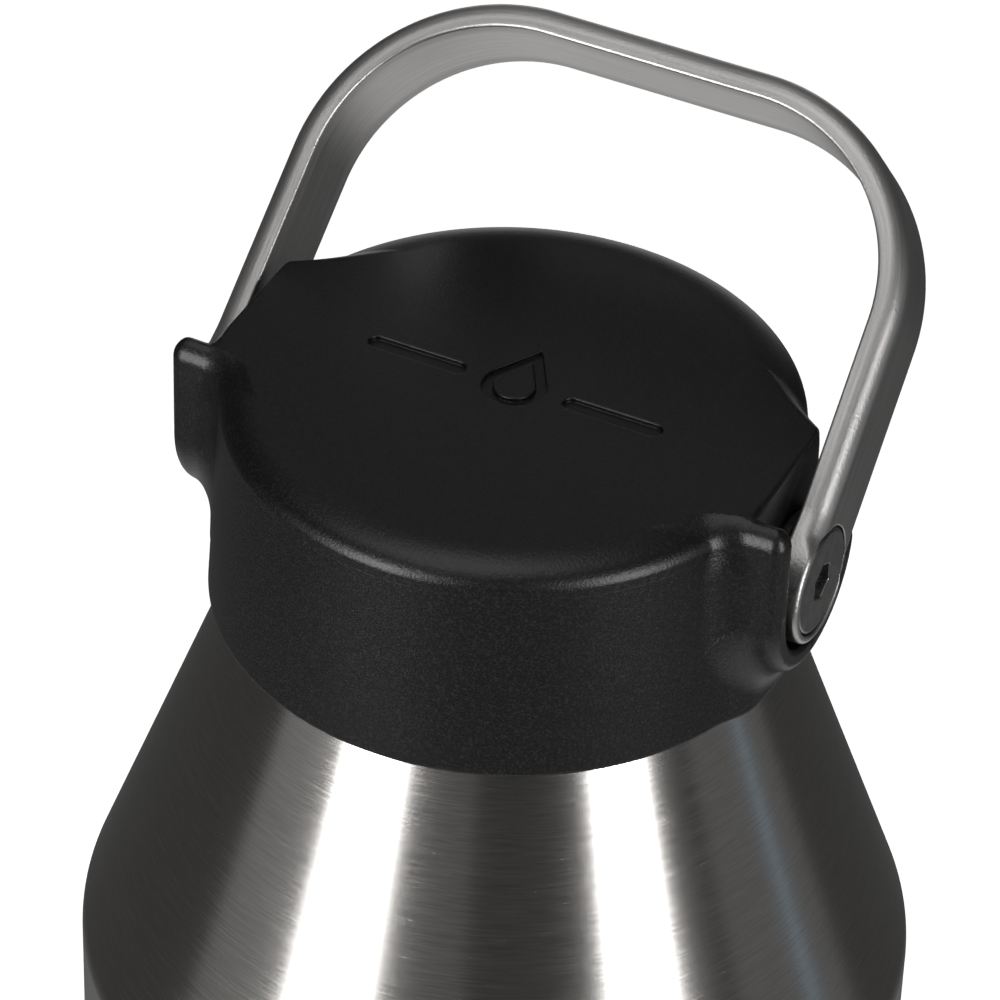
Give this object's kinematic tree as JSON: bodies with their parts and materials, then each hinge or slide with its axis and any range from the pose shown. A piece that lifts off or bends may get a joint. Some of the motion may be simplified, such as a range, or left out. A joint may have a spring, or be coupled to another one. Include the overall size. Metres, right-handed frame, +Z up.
{
  "type": "insulated drinking bottle",
  "caption": "Brushed steel vacuum-insulated drinking bottle with a conical shoulder, a black screw cap and a steel strap handle that leans back on its stops.",
  "frame": {"origin": "centre of the foot, in the plane the bottle stands on", "axes": "+Z up along the bottle, +X through the right handle pivot, the handle leans towards +Y"},
  "size_m": [0.09, 0.09, 0.2779],
  "materials": {
    "brushed_steel": "circumferential brushing, satin",
    "liner_steel": "electropolished inside",
    "strap_steel": "brushed along its length",
    "screw_steel": "turned, dull",
    "black_plastic": "fine spark-eroded texture, satin",
    "liner_plastic": "smooth satin",
    "washer_nylon": "smooth",
    "silicone": "translucent white silicone",
    "foam": "closed-cell foam",
    "brass": "turned and knurled",
    "copper": "bright foil",
    "getter_alloy": "sintered",
    "solder_glass": "fused glass bead"
  },
  "bodies": {
    "bottle": {"outer_shell": "brushed_steel", "liner_shoulder": "liner_steel", "liner_body": "liner_steel", "liner_bottom": "liner_steel", "vacuum_base": "liner_steel", "seal_bead": "solder_glass", "getter": "getter_alloy", "getter_clip": "liner_steel", "copper_foil": "copper", "base_cover": "brushed_steel"},
    "cap_seal": {"lip_gasket": "silicone"},
    "cap": {"cap_shell": "black_plastic", "cap_liner": "liner_plastic", "foam_core": "foam", "insert_left": "brass", "insert_right": "brass", "washer_left": "washer_nylon", "washer_right": "washer_nylon", "pivot_screw_left": "screw_steel", "pivot_screw_right": "screw_steel"},
    "handle": {"handle_strap": "strap_steel"}
  },
  "joints": [
    {"name": "cap_lift", "type": "slide", "parent": "bottle", "child": "cap_seal", "axis": [0, 0, 1], "range_m": [0, 0.032]},
    {"name": "cap_turn", "type": "hinge", "parent": "cap_seal", "child": "cap", "pos_m": [0, 0, 0.247], "axis": [0, 0, 1], "range_deg": [0, 1440]},
    {"name": "handle_swing", "type": "hinge", "parent": "cap", "child": "handle", "pos_m": [0, 0, 0.2428], "axis": [1, 0, 0], "range_deg": [0, 56]}
  ],
  "couplings": [
    {"joint": "cap_lift", "follows": "cap_turn", "m_per_rad": 0.0012732}
  ]
}
